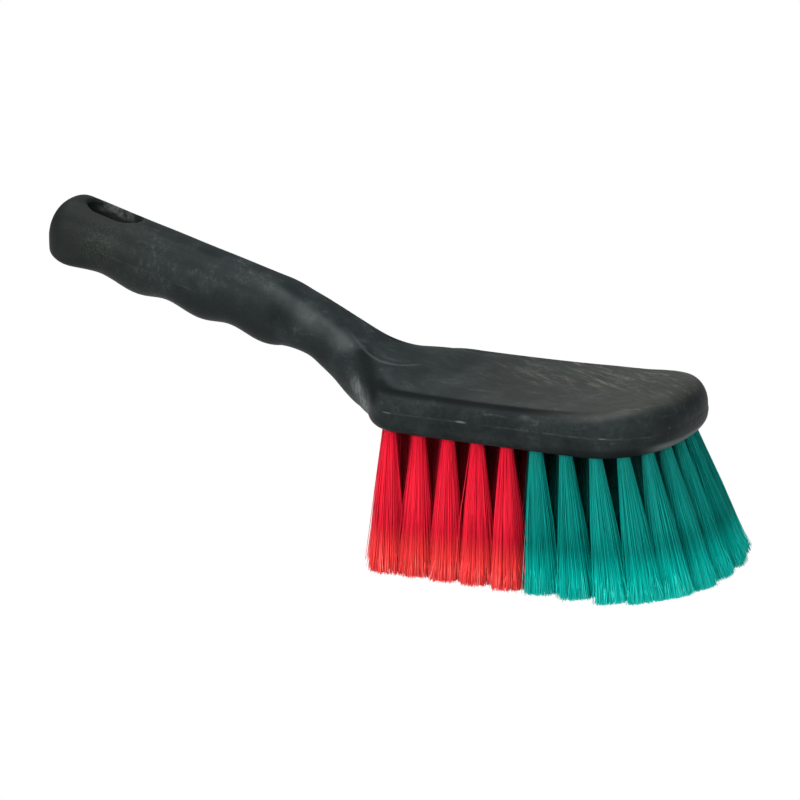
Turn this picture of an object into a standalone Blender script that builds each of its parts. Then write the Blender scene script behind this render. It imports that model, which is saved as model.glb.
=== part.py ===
"""Short-handled scrub brush.

One black moulding makes the head, the neck and the grip. Every tuft is a piece of its own: a root that
sits in its drilled hole on a flat anchor, and filaments that fan out below it and are cut square.
Lengths are in metres and +Z is up. The brush lies along X, its nose towards +X, and stands on its tips.
"""
import math

import bmesh
import bpy
from mathutils import Vector

# Bristles
TRIM_LENGTH = 0.0545
TRIM_SKIM = 0.0005
TUFT_HOLE_DIAMETER = 0.0056
TUFT_HOLE_DEPTH = 0.0105
TUFT_CLEARANCE = 0.0003
TIP_FILL_SHARE = 0.955
ROOT_RECESS = 0.0006
STRAND_GAP = 0.0003
STRAND_TIP_GAP = 0.0008
ANCHOR_THICKNESS = 0.0006
ANCHOR_HEIGHT = 0.0014
STRANDS_PER_TUFT = 8
STRAND_CORE_SHARE = 0.18

# Rows of tufts
OUTER_ROW_INSET = 0.0065
ROW_PITCH_SHARE = 0.36
INNER_ROW_SHARE = 0.22
FIRST_TUFT_SETBACK = 0.0072
LAST_TUFT_ADVANCE = 0.0042
OUTER_SIDE_TUFTS = 8
MIDDLE_SIDE_TUFTS = 8
INNER_SIDE_TUFTS = 8
MIDDLE_SETBACK_SHARE = 0.50
INNER_SETBACK_SHARE = 0.45
OUTER_NOSE_TUFTS = 7
MIDDLE_NOSE_TUFTS = 3
RED_COLUMNS = 5
RED_END_SHARE = 0.75

# Splay of the tips against their roots
SIDE_SPLAY = 0.0035
NOSE_SPLAY = 0.0150
NOSE_FAN = 0.0178
REAR_SPLAY = 0.0010

# Head
HEAD_WIDTH = 0.0770
HEAD_REAR_TAPER = 0.0030
SIDE_LENGTH = 0.0733
NOSE_LENGTH = 0.0300
REAR_LENGTH = 0.0225
HEAD_THICKNESS = 0.0154
LIP_RADIUS = 0.0035
GIRTH_HEIGHT = 0.0072
WALL_DRAFT = 0.0005
BEAD_RADIUS = 0.0032
GROOVE_WIDTH = 0.0034
GROOVE_DEPTH = 0.0009
TOP_EDGE_RISE = 0.0002
TOP_CROWN = 0.0010
TOP_SADDLE = 0.0026

# Grip
GRIP_LENGTH = 0.1007
GRIP_SLOPE = math.radians(15.2)
GRIP_TOP_AT_NECK = 0.0998
GRIP_HEIGHT = 0.0246
GRIP_SWELL = 0.0022
GRIP_WIDTH = 0.0240
HEEL_WIDTH = 0.0270
FINGER_PITCH = 0.0275
FINGER_DEPTH = 0.0023
FINGER_OFFSET = 0.0075
HEEL_TOP_LENGTH = 0.0160
HEEL_TOP_DROP = 0.0165
HEEL_BOTTOM_LENGTH = 0.0065
HEEL_BOTTOM_RISE = 0.0042
HEEL_SIDE_LENGTH = 0.0125

# Neck
NECK_LENGTH = 0.0640
NECK_END_SETBACK = 0.0020
NECK_FLOOR = 0.0005

# Hang slot
SLOT_LENGTH = 0.0210
SLOT_WIDTH = 0.0100
SLOT_SETBACK = 0.0135
SLOT_RIM = 0.0018
CUT_OVERRUN = 0.0040

# Shapes of the outlines and how finely they are drawn
NOSE_ROUNDNESS = 2.3
GRIP_ROUNDNESS = 2.5
HEEL_TIP_WIDTH_SHARE = 0.50
TOP_RING_SHARES = (0.62, 0.28)
# Each row is a place along the neck, then the top's height, the bottom's height and the width there,
# as shares of what lies between the grip (1) and the head (0), and for the width of the grip's width.
NECK_SHARES = (
    (0.06, 0.950, 0.985, 1.00),
    (0.14, 0.865, 0.930, 1.00),
    (0.22, 0.785, 0.830, 1.01),
    (0.30, 0.700, 0.630, 1.03),
    (0.38, 0.610, 0.420, 1.08),
    (0.46, 0.515, 0.170, 1.18),
    (0.53, 0.425, 0.010, 1.30),
    (0.60, 0.335, 0.000, 1.56),
    (0.67, 0.250, 0.000, 1.90),
    (0.74, 0.180, 0.010, 2.25),
    (0.82, 0.115, 0.060, 2.60),
    (0.90, 0.055, 0.140, 2.82),
    (1.00, -0.030, 0.220, 2.90),
)
GRIP_STATIONS = 24
HEEL_STATION_POWER = 1.15
NOSE_SPLAY_POWER = 2
NOSE_FAN_POWER = 8
SECTION_POINTS = 20
NOSE_STEPS = 16
SIDE_STEPS = 4
REAR_STEPS = 12
ROUNDING_STEPS = 3
SLOT_END_STEPS = 8
HOLE_SIDES = 12
FINE_LINE_STEPS = 192
SHARP_ANGLE = math.radians(40)
QUARTER_TURN = math.pi / 2

# Colours and finish
BLACK_PLASTIC = (0.030, 0.034, 0.033, 1.0)
RED_FILAMENT = (0.62, 0.010, 0.026, 1.0)
GREEN_FILAMENT = (0.004, 0.262, 0.190, 1.0)
PLASTIC_ROUGHNESS = 0.5
FILAMENT_ROUGHNESS = 0.4

# Places worked out from the sizes above. X is zero at the middle of the head's straight sides.
HEAD_REAR_WIDTH = HEAD_WIDTH - HEAD_REAR_TAPER
OUTER_ROW_Y = HEAD_WIDTH / 2 - OUTER_ROW_INSET
ROW_PITCH = OUTER_ROW_Y * ROW_PITCH_SHARE
MIDDLE_ROW_INSET = OUTER_ROW_INSET + ROW_PITCH
INNER_ROW_Y = OUTER_ROW_Y * INNER_ROW_SHARE
TUFT_PITCH = (FIRST_TUFT_SETBACK + SIDE_LENGTH + LAST_TUFT_ADVANCE) / (OUTER_SIDE_TUFTS - 1)
TUFT_TIP_DIAMETER = min(TUFT_PITCH, ROW_PITCH) * TIP_FILL_SHARE
SIDE_FRONT_X = SIDE_LENGTH / 2
SIDE_REAR_X = -SIDE_LENGTH / 2
NOSE_X = SIDE_FRONT_X + NOSE_LENGTH
NECK_START_X = SIDE_REAR_X - NECK_END_SETBACK - NECK_LENGTH
HEEL_X = NECK_START_X - GRIP_LENGTH
UNDERSIDE_Z = TRIM_LENGTH
BEAD_Z = UNDERSIDE_Z + HEAD_THICKNESS
TOP_Z = BEAD_Z + TOP_EDGE_RISE + TOP_CROWN


def clear_scene():
    """Start from an empty file."""
    for item in list(bpy.data.objects):
        bpy.data.objects.remove(item, do_unlink=True)


def make_material(name, colour, roughness):
    """A plain Principled material."""
    material = bpy.data.materials.new(name)
    material.use_nodes = True
    shader = material.node_tree.nodes["Principled BSDF"]
    shader.inputs["Base Color"].default_value = colour
    shader.inputs["Roughness"].default_value = roughness
    shader.inputs["Metallic"].default_value = 0.0
    material.diffuse_color = colour
    return material


def add_object(name, mesh, frame, material=None):
    """Put a mesh into the scene under the brush's frame."""
    item = bpy.data.objects.new(name, mesh)
    bpy.context.collection.objects.link(item)
    item.parent = frame
    if material:
        mesh.materials.append(material)
    return item


def mesh_from_rings(name, rings, peak=None):
    """Skin a list of closed rings. The ends are flat, but for the last one where a peak is given."""
    work = bmesh.new()
    rows = [[work.verts.new(point) for point in ring] for ring in rings]
    count = len(rows[0])
    for low, high in zip(rows, rows[1:]):
        for i in range(count):
            j = (i + 1) % count
            work.faces.new((low[i], low[j], high[j], high[i]))
    work.faces.new(rows[0])
    if peak:
        middle = work.verts.new(peak)
        for i in range(count):
            work.faces.new((rows[-1][i], rows[-1][(i + 1) % count], middle))
    else:
        work.faces.new(rows[-1])
    bmesh.ops.recalc_face_normals(work, faces=work.faces)
    mesh = bpy.data.meshes.new(name)
    work.to_mesh(mesh)
    work.free()
    mesh.shade_smooth()
    mesh.set_sharp_from_angle(angle=SHARP_ANGLE)
    return mesh


def round_end(length, half_width, angle, side):
    """A point on half a superellipse and its outward normal; side is 1 at the nose and -1 at the rear."""
    power = NOSE_ROUNDNESS
    along, across = math.cos(angle), math.sin(angle)
    x = length * abs(along) ** (2 / power)
    y = math.copysign(half_width * abs(across) ** (2 / power), across)
    normal = Vector((side * (x / length) ** (power - 1) / length,
                     math.copysign((abs(y) / half_width) ** (power - 1) / half_width, y), 0))
    return Vector((side * x, y, 0)), normal.normalized()


def head_outline():
    """The head's plan at its girth, as points and outward normals from the near side's front round."""
    front_half, rear_half = HEAD_WIDTH / 2, HEAD_REAR_WIDTH / 2
    points = []
    for step in range(NOSE_STEPS + 1):
        angle = math.pi * (step / NOSE_STEPS - 0.5)
        point, normal = round_end(NOSE_LENGTH, front_half, angle, 1)
        points.append((point + Vector((SIDE_FRONT_X, 0, 0)), normal))
    for step in range(1, SIDE_STEPS):
        share = step / SIDE_STEPS
        half = front_half + (rear_half - front_half) * share
        points.append((Vector((SIDE_FRONT_X - SIDE_LENGTH * share, half, 0)), Vector((0, 1, 0))))
    for step in range(REAR_STEPS + 1):
        angle = math.pi * (0.5 - step / REAR_STEPS)
        point, normal = round_end(REAR_LENGTH, rear_half, angle, -1)
        points.append((point + Vector((SIDE_REAR_X, 0, 0)), normal))
    for step in range(1, SIDE_STEPS):
        share = step / SIDE_STEPS
        half = rear_half + (front_half - rear_half) * share
        points.append((Vector((SIDE_REAR_X + SIDE_LENGTH * share, -half, 0)), Vector((0, -1, 0))))
    return points


def head_profile():
    """The edge's cross-section, from the lip to the top: pairs of inset and height above the underside."""
    lip = LIP_RADIUS
    profile = []
    for step in range(ROUNDING_STEPS + 1):
        angle = QUARTER_TURN * step / ROUNDING_STEPS
        profile.append((lip * (1 - math.sin(angle)), lip * (1 - math.cos(angle))))
    profile.append((0.0, GIRTH_HEIGHT))
    bead_centre = HEAD_THICKNESS - BEAD_RADIUS
    profile.append((WALL_DRAFT, bead_centre))
    for step in range(1, ROUNDING_STEPS + 1):
        angle = QUARTER_TURN * step / ROUNDING_STEPS
        inset = WALL_DRAFT + BEAD_RADIUS * (1 - math.cos(angle))
        profile.append((inset, bead_centre + BEAD_RADIUS * math.sin(angle)))
    groove = WALL_DRAFT + BEAD_RADIUS + GROOVE_WIDTH / 2
    profile.append((groove, HEAD_THICKNESS - GROOVE_DEPTH))
    profile.append((groove + GROOVE_WIDTH / 2, HEAD_THICKNESS + TOP_EDGE_RISE))
    return profile


def saddle(x):
    """How much the top rises away from the middle of the head's sides."""
    return TOP_SADDLE * (x / (SIDE_LENGTH / 2 + REAR_LENGTH)) ** 2


def make_head():
    """The head's block: one ring round the plan for each point of the profile, then the crowned top."""
    outline = head_outline()
    rings = []
    for inset, height in head_profile():
        lift_share = max(0.0, height - GIRTH_HEIGHT) / (HEAD_THICKNESS - GIRTH_HEIGHT)
        ring = []
        for point, normal in outline:
            place = point - normal * inset
            ring.append(Vector((place.x, place.y, UNDERSIDE_Z + height + lift_share * saddle(place.x))))
        rings.append(ring)
    rim = rings[-1]
    for share in TOP_RING_SHARES:
        ring = []
        for place in rim:
            x = place.x * share
            rise = TOP_CROWN * (1 - share ** 2)
            ring.append(Vector((x, place.y * share, BEAD_Z + TOP_EDGE_RISE + rise + saddle(x))))
        rings.append(ring)
    return mesh_from_rings("brush_body", rings, (0, 0, TOP_Z))


def section(x, low, high, half_width):
    """One upright cross-section of the grip or neck."""
    middle, half_height = (low + high) / 2, (high - low) / 2
    power = 2 / GRIP_ROUNDNESS
    ring = []
    for i in range(SECTION_POINTS):
        angle = math.tau * i / SECTION_POINTS
        across, up = math.cos(angle), math.sin(angle)
        y = math.copysign(half_width * abs(across) ** power, across)
        z = math.copysign(half_height * abs(up) ** power, up)
        ring.append(Vector((x, y, middle + z)))
    return ring


def grip_top(x):
    """Height of the grip's straight top line."""
    return GRIP_TOP_AT_NECK + (NECK_START_X - x) * math.tan(GRIP_SLOPE)


def grip_bottom(x):
    """Height of the grip's underside with its finger waves."""
    wave = (1 + math.cos(math.tau * (x - NECK_START_X + FINGER_OFFSET) / FINGER_PITCH)) / 2
    swell = GRIP_SWELL * math.sqrt((NECK_START_X - x) / GRIP_LENGTH)
    return grip_top(x) - GRIP_HEIGHT - swell - FINGER_DEPTH * wave


def quarter_drop(distance, length, drop):
    """How far a rounded end falls short, a quarter ellipse over length."""
    share = min(1.0, max(0.0, distance / length))
    return drop * (1 - math.sqrt(1 - share ** 2))


def grip_section(x):
    """The grip's cross-section, with the heel's end rounded in both views."""
    from_heel = x - HEEL_X
    high = grip_top(x) - quarter_drop(HEEL_TOP_LENGTH - from_heel, HEEL_TOP_LENGTH, HEEL_TOP_DROP)
    low = grip_bottom(x) + quarter_drop(HEEL_BOTTOM_LENGTH - from_heel, HEEL_BOTTOM_LENGTH, HEEL_BOTTOM_RISE)
    toward_heel = (NECK_START_X - x) / GRIP_LENGTH
    half = (GRIP_WIDTH + (HEEL_WIDTH - GRIP_WIDTH) * toward_heel ** 2) / 2
    narrowing = half * (1 - HEEL_TIP_WIDTH_SHARE)
    half -= quarter_drop(HEEL_SIDE_LENGTH - from_heel, HEEL_SIDE_LENGTH, narrowing)
    return section(x, low, high, half)


def make_handle():
    """The grip and the neck as one skin whose front end lies inside the head."""
    rings = []
    for i in range(GRIP_STATIONS):
        share = i / GRIP_STATIONS
        rings.append(grip_section(HEEL_X + GRIP_LENGTH * share ** HEEL_STATION_POWER))
    start_low = grip_bottom(NECK_START_X)
    end_high, end_low = TOP_Z, UNDERSIDE_Z + NECK_FLOOR
    rings.append(grip_section(NECK_START_X))
    for along, top, bottom, width in NECK_SHARES:
        x = NECK_START_X + NECK_LENGTH * along
        high = end_high + (GRIP_TOP_AT_NECK - end_high) * top
        low = end_low + (start_low - end_low) * bottom
        rings.append(section(x, low, high, GRIP_WIDTH / 2 * width))
    return mesh_from_rings("handle_form", rings)


def make_slot():
    """The cutter for the hang slot: a tilted slot with a flared rim at both faces."""
    axis = Vector((math.sin(GRIP_SLOPE), 0, math.cos(GRIP_SLOPE)))
    along = Vector((math.cos(GRIP_SLOPE), 0, -math.sin(GRIP_SLOPE)))
    across = Vector((0, 1, 0))
    x = HEEL_X + SLOT_SETBACK + SLOT_LENGTH / 2
    middle = Vector((x, 0, (grip_top(x) + grip_bottom(x)) / 2))
    reach = (grip_top(x) - grip_bottom(x)) / 2
    levels = (
        (-reach - CUT_OVERRUN, SLOT_RIM + CUT_OVERRUN),
        (-reach + SLOT_RIM, 0.0),
        (reach - SLOT_RIM * 2, 0.0),
        (reach + CUT_OVERRUN, SLOT_RIM + CUT_OVERRUN),
    )
    straight = (SLOT_LENGTH - SLOT_WIDTH) / 2
    rings = []
    for depth, flare in levels:
        radius = SLOT_WIDTH / 2 + flare
        ring = []
        for end in (1, -1):
            for step in range(SLOT_END_STEPS + 1):
                angle = math.pi * (step / SLOT_END_STEPS - 0.5)
                forward = along * (straight + radius * math.cos(angle))
                sideways = across * radius * math.sin(angle)
                ring.append(middle + axis * depth + (forward + sideways) * end)
        rings.append(ring)
    return mesh_from_rings("hang_slot_cut", rings)


def side_half_width(x):
    """Half of the head's width along its straight sides."""
    share = (x - SIDE_REAR_X) / SIDE_LENGTH
    return (HEAD_REAR_WIDTH + (HEAD_WIDTH - HEAD_REAR_WIDTH) * share) / 2


def nose_arc(inset, start_x):
    """A fine line round the nose at an inset, from start_x on the near side to the same place opposite."""
    line = []
    for step in range(FINE_LINE_STEPS + 1):
        angle = math.pi * (step / FINE_LINE_STEPS - 0.5)
        point, normal = round_end(NOSE_LENGTH, HEAD_WIDTH / 2, angle, 1)
        place = point + Vector((SIDE_FRONT_X, 0, 0)) - normal * inset
        if place.x >= start_x:
            line.append(place)
    return line


def even_places(line, count):
    """Count places at even steps between the two ends of a line, without the ends."""
    lengths = [0.0]
    for first, second in zip(line, line[1:]):
        lengths.append(lengths[-1] + (second - first).length)
    places = []
    for i in range(1, count + 1):
        target = lengths[-1] * i / (count + 1)
        index = next(k for k, length in enumerate(lengths) if length >= target)
        share = (target - lengths[index - 1]) / (lengths[index] - lengths[index - 1])
        places.append(line[index - 1].lerp(line[index], share))
    return places


def tuft_places():
    """Where every tuft leaves the underside, row by row."""
    first_x = SIDE_REAR_X - FIRST_TUFT_SETBACK
    places = []
    rows = (
        (OUTER_ROW_INSET, first_x, OUTER_SIDE_TUFTS, OUTER_NOSE_TUFTS),
        (MIDDLE_ROW_INSET, first_x - TUFT_PITCH * MIDDLE_SETBACK_SHARE, MIDDLE_SIDE_TUFTS, MIDDLE_NOSE_TUFTS),
    )
    for inset, start_x, side_count, nose_count in rows:
        last_x = start_x + TUFT_PITCH * (side_count - 1)
        for side in (-1, 1):
            for i in range(side_count):
                x = start_x + TUFT_PITCH * i
                places.append(Vector((x, side * (side_half_width(min(x, SIDE_FRONT_X)) - inset), 0)))
        places.extend(even_places(nose_arc(inset, last_x), nose_count))
    inner_x = first_x - TUFT_PITCH * INNER_SETBACK_SHARE
    for side in (-1, 1):
        for i in range(INNER_SIDE_TUFTS):
            places.append(Vector((inner_x + TUFT_PITCH * i, side * INNER_ROW_Y, 0)))
    return places


def tip_offset(place):
    """How far a tuft leans over its length, in plan: outward everywhere, and forward round the nose."""
    nose_share = max(0.0, (place.x - SIDE_REAR_X) / (NOSE_X - OUTER_ROW_INSET - SIDE_REAR_X))
    rear_share = max(0.0, (SIDE_REAR_X - place.x) / FIRST_TUFT_SETBACK)
    side_share = place.y / OUTER_ROW_Y
    forward = NOSE_SPLAY * nose_share ** NOSE_SPLAY_POWER - REAR_SPLAY * rear_share
    sideways = SIDE_SPLAY + (NOSE_FAN - SIDE_SPLAY) * nose_share ** NOSE_FAN_POWER
    return Vector((forward, sideways * side_share, 0))


def tuft_axis(place):
    """The direction in which a tuft's hole is drilled, up into the head."""
    return (Vector((0, 0, TRIM_LENGTH)) - tip_offset(place)).normalized()


def crosswise(axis):
    """Two directions square to a tuft's axis."""
    first = Vector((0, 1, 0)).cross(axis).normalized()
    return first, axis.cross(first)


def make_holes(places):
    """The cutter for every blind tuft hole."""
    work = bmesh.new()
    radius = TUFT_HOLE_DIAMETER / 2
    for place in places:
        axis = tuft_axis(place)
        first, second = crosswise(axis)
        mouth = Vector((place.x, place.y, UNDERSIDE_Z))
        rows = []
        for depth in (-CUT_OVERRUN / 2, TUFT_HOLE_DEPTH):
            row = []
            for i in range(HOLE_SIDES):
                angle = math.tau * (i + 0.5) / HOLE_SIDES
                outward = first * math.cos(angle) + second * math.sin(angle)
                row.append(work.verts.new(mouth + axis * depth + outward * radius))
            rows.append(row)
        work.faces.new(list(reversed(rows[0])))
        work.faces.new(rows[1])
        for i in range(HOLE_SIDES):
            j = (i + 1) % HOLE_SIDES
            work.faces.new((rows[0][i], rows[0][j], rows[1][j], rows[1][i]))
    mesh = bpy.data.meshes.new("tuft_holes_cut")
    work.to_mesh(mesh)
    work.free()
    return mesh


def strand_corners(outer_radius, gap):
    """The three corners of each strand in a tuft's cross-section: one near the core, two on the outside."""
    step = math.tau / STRANDS_PER_TUFT
    half_angle = step / 2 - gap / (2 * outer_radius)
    corners = []
    for i in range(STRANDS_PER_TUFT):
        middle = step * (i + 0.5)
        corners.append([(outer_radius * STRAND_CORE_SHARE, middle),
                        (outer_radius, middle - half_angle), (outer_radius, middle + half_angle)])
    return corners


def make_tuft(name, place):
    """A tuft: its root with the anchor on top, and strands that fan out from it to a square cut.

    The strands that would pass the height the brush stands on end flat there.
    """
    axis = tuft_axis(place)
    first, second = crosswise(axis)
    mouth = Vector((place.x, place.y, UNDERSIDE_Z))
    foot = mouth + axis * ROOT_RECESS
    head = mouth + axis * (TUFT_HOLE_DEPTH - TUFT_CLEARANCE - ANCHOR_HEIGHT)
    radius = TUFT_HOLE_DIAMETER / 2 - TUFT_CLEARANCE
    tip_middle = mouth - axis * (TRIM_LENGTH + TRIM_SKIM)
    work = bmesh.new()

    def ring_at(centre):
        row = []
        for i in range(HOLE_SIDES):
            angle = math.tau * (i + 0.5) / HOLE_SIDES
            outward = first * math.cos(angle) + second * math.sin(angle)
            row.append(work.verts.new(centre + outward * radius))
        return row

    low, high = ring_at(foot), ring_at(head)
    for i in range(HOLE_SIDES):
        j = (i + 1) % HOLE_SIDES
        work.faces.new((low[i], low[j], high[j], high[i]))
    foot_edges = [work.edges.get((low[i], low[(i + 1) % HOLE_SIDES])) for i in range(HOLE_SIDES)]
    head_edges = [work.edges.get((high[i], high[(i + 1) % HOLE_SIDES])) for i in range(HOLE_SIDES)]

    root_radius = radius * math.cos(math.pi / HOLE_SIDES) - STRAND_GAP
    root_corners = strand_corners(root_radius, STRAND_GAP)
    tip_corners = strand_corners(TUFT_TIP_DIAMETER / 2, STRAND_TIP_GAP)
    for root, tip in zip(root_corners, tip_corners):
        top = [work.verts.new(foot + (first * math.cos(a) + second * math.sin(a)) * r) for r, a in root]
        end = []
        for r, a in tip:
            corner = tip_middle + (first * math.cos(a) + second * math.sin(a)) * r
            corner.z = max(0.0, corner.z)
            end.append(work.verts.new(corner))
        for i in range(3):
            j = (i + 1) % 3
            work.faces.new((top[i], top[j], end[j], end[i]))
            foot_edges.append(work.edges.get((top[i], top[j])))
        work.faces.new(end)

    blade = []
    for x, y in ((1, 1), (-1, 1), (-1, -1), (1, -1)):
        blade.append(first * x * ANCHOR_THICKNESS / 2 + second * y * root_radius)
    base = [work.verts.new(head + corner) for corner in blade]
    crown = [work.verts.new(head + corner + axis * ANCHOR_HEIGHT) for corner in blade]
    for i in range(4):
        j = (i + 1) % 4
        work.faces.new((base[i], base[j], crown[j], crown[i]))
        head_edges.append(work.edges.get((base[i], base[j])))
    work.faces.new(crown)

    bmesh.ops.triangle_fill(work, use_beauty=True, use_dissolve=False, edges=foot_edges, normal=-axis)
    bmesh.ops.triangle_fill(work, use_beauty=True, use_dissolve=False, edges=head_edges, normal=axis)
    bmesh.ops.recalc_face_normals(work, faces=work.faces)
    mesh = bpy.data.meshes.new(name)
    work.to_mesh(mesh)
    work.free()
    return mesh


def add_boolean(item, name, operation, other):
    """A Boolean modifier whose operand shows as a wire and isn't rendered."""
    other.display_type = "WIRE"
    other.hide_render = True
    modifier = item.modifiers.new(name, "BOOLEAN")
    modifier.operation = operation
    modifier.object = other


def main():
    """Build the brush and centre it over the origin."""
    clear_scene()
    frame = bpy.data.objects.new("brush_frame", None)
    bpy.context.collection.objects.link(frame)
    black = make_material("black_plastic", BLACK_PLASTIC, PLASTIC_ROUGHNESS)
    red = make_material("red_filament", RED_FILAMENT, FILAMENT_ROUGHNESS)
    green = make_material("green_filament", GREEN_FILAMENT, FILAMENT_ROUGHNESS)

    places = tuft_places()
    body = add_object("brush_body", make_head(), frame, black)
    handle = add_object("handle_form", make_handle(), frame)
    slot = add_object("hang_slot_cut", make_slot(), frame)
    holes = add_object("tuft_holes_cut", make_holes(places), frame)
    add_boolean(body, "join_handle", "UNION", handle)
    add_boolean(body, "cut_slot", "DIFFERENCE", slot)
    add_boolean(body, "cut_tuft_holes", "DIFFERENCE", holes)

    last_red_x = SIDE_REAR_X - FIRST_TUFT_SETBACK + TUFT_PITCH * (RED_COLUMNS - RED_END_SHARE)
    front_x = NOSE_X
    counts = {"red": 0, "green": 0}
    for place in places:
        colour, material = ("red", red) if place.x < last_red_x else ("green", green)
        counts[colour] += 1
        name = f"{colour}_tuft_{counts[colour]:02d}"
        tuft = add_object(name, make_tuft(name, place), frame, material)
        front_x = max([front_x] + [vert.co.x for vert in tuft.data.vertices])
    frame.location.x = -(HEEL_X + front_x) / 2
    print("tufts", counts, "overall length", round(front_x - HEEL_X, 4))


main()
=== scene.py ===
"""Looks of the scrub brush: a mottled black moulding and a sheaf of filaments for every tuft."""
import math

import bmesh
import bpy
import numpy as np
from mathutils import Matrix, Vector


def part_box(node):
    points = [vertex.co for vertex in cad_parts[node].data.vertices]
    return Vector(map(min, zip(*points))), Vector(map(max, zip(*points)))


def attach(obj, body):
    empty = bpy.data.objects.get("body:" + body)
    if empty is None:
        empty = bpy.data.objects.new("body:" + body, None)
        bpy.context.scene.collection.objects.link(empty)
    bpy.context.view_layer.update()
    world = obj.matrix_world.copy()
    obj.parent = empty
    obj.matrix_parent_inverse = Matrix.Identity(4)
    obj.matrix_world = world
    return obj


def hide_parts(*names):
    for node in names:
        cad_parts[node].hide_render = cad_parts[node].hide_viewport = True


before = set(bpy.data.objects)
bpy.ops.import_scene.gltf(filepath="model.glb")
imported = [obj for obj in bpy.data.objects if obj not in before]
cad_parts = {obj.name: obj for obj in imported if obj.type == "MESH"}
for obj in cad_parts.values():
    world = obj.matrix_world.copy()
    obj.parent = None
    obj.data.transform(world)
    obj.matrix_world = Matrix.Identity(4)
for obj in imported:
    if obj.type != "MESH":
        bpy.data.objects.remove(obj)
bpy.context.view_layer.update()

# Sizes of the head, in metres
HEAD_WIDTH = 0.0770
REAR_WIDTH = 0.0740
SIDE_LENGTH = 0.0733
NOSE_LENGTH = 0.0300
REAR_LENGTH = 0.0235
HEAD_THICKNESS = 0.0154
UNDERSIDE_Z = 0.0545
LIP_RADIUS = 0.0035
REAR_LIP_RADIUS = 0.0052
NOSE_LIP_RADIUS = 0.0060
BEAD_RADIUS = 0.0032
NOSE_BEAD_RADIUS = 0.0076
NOSE_LEAN = 0.0020
LEAN_PIVOT = 0.45
NOSE_SWELL = 0.0009
NOSE_RISE = 0.0015
WALL_BULGE = 0.0004
GROOVE_WIDTH = 0.0060
GROOVE_DEPTH = 0.0004
TOP_EDGE_RISE = 0.0002
TOP_CROWN = 0.0010
TOP_SADDLE = 0.0026
REAR_SADDLE = 0.0014
NOSE_ROUNDNESS = 2.3
REAR_ROUNDNESS = 2.5

# Sizes of the grip and its heel; the heel's fades are measured from its end
GRIP_LENGTH = 0.1007
GRIP_SLOPE = math.radians(15.2)
GRIP_TOP_Z = 0.0998
GRIP_HEIGHT = 0.0246
GRIP_SWELL = 0.0022
GRIP_WIDTH = 0.0240
GRIP_ROUNDNESS = 2.5
FINGER_PITCH = 0.0275
FINGER_DEPTH = 0.0023
FINGER_OFFSET = 0.0075
HEEL_WIDTH = 0.0270
HEEL_TOP_LENGTH = 0.0115
HEEL_TOP_DROP = 0.0180
HEEL_BOTTOM_LENGTH = 0.0040
HEEL_BOTTOM_RISE = 0.0010
HEEL_SIDE_LENGTH = 0.0085
HEEL_SETBACK = 0.0015
HEEL_LIFT = 0.0026
HEEL_LIFT_FADE = (0.011, 0.026)
HEEL_TIP_SHARE = 0.50
HEEL_SQUARENESS = 4.5
HEEL_SQUARE_FADE = (0.004, 0.024)
SLOT_LENGTH = 0.0228
SLOT_WIDTH = 0.0140
SLOT_SETBACK = 0.0107
SLOT_RIM = 0.0016
CUTTER_MARGIN = 0.006

# The neck: share of its length, its top and its underside from 0 at the head to 1 at the grip, and its
# width as a share of the grip's
NECK_LENGTH = 0.0640
NECK_FLOOR = 0.0005
NECK_SQUARENESS = 2.0
NECK_SQUARE_FADE = (0.50, 0.75)
NECK_SHARES = (
    (0.00, 1.000, 1.000, 1.00),
    (0.06, 0.950, 0.985, 1.00),
    (0.14, 0.865, 0.930, 1.00),
    (0.22, 0.785, 0.830, 1.01),
    (0.30, 0.700, 0.630, 1.03),
    (0.38, 0.610, 0.420, 1.08),
    (0.46, 0.515, 0.170, 1.18),
    (0.53, 0.425, 0.010, 1.30),
    (0.60, 0.320, 0.000, 1.56),
    (0.67, 0.232, 0.000, 1.90),
    (0.74, 0.170, 0.010, 2.25),
    (0.82, 0.145, 0.060, 2.60),
    (0.90, 0.118, 0.140, 2.82),
    (1.00, 0.074, 0.220, 2.92),
    (1.10, 0.028, 0.280, 2.94),
    (1.22, -0.040, 0.320, 2.90),
)

# How finely the moulding's forms are drawn
OUTLINE_STEPS = 40
LIP_STEPS = 6
WALL_STEPS = 8
BEAD_STEPS = 7
GROOVE_STEPS = 12
TOP_RING_SHARES = (0.92, 0.82, 0.70, 0.55, 0.40, 0.25, 0.12)
SECTION_STEPS = 64
GRIP_RINGS = 90
GRIP_RING_POWER = 1.4
NECK_RINGS = 74
SLOT_RIM_STEPS = 6
SLOT_END_STEPS = 16
HOLE_SIDES = 20
VOXEL_SIZE = 0.0008
SHARP_ANGLE = math.radians(42)

# Smoothing of the melted moulding: rounds everywhere, and rounds where the neck meets the head
FAIR_ROUNDS = 2
FILLET_ROUNDS = 26
SMOOTH_FACTOR = 0.5
LEAST_BLEND = 0.05
JUNCTION_REACH = (0.012, 0.034)
BLEND_HEIGHTS = (UNDERSIDE_Z + 0.001, UNDERSIDE_Z + 0.006)
FLAT_TOP_Z = UNDERSIDE_Z + 0.0004
BEAD_INSET = 0.0015
BEAD_REACH = (0.002, 0.0055)
BEAD_SIDES = (0.020, 0.029)

# The parting line: height on the head, drop below the grip's top, and its curve along the neck
PARTING_HEIGHT = 0.0085
PARTING_DROP = 0.0145
PARTING_LEVEL = 0.75
PARTING_START = -0.1

# The tongue where the neck's top lands on the head, measured from the neck's start
TONGUE_START = 0.0200
TONGUE_WIDEST = 0.0470
TONGUE_TURN = 0.0510
TONGUE_END = 0.0605
TONGUE_START_HALF = 0.0040
TONGUE_HALF = 0.0129

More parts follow.
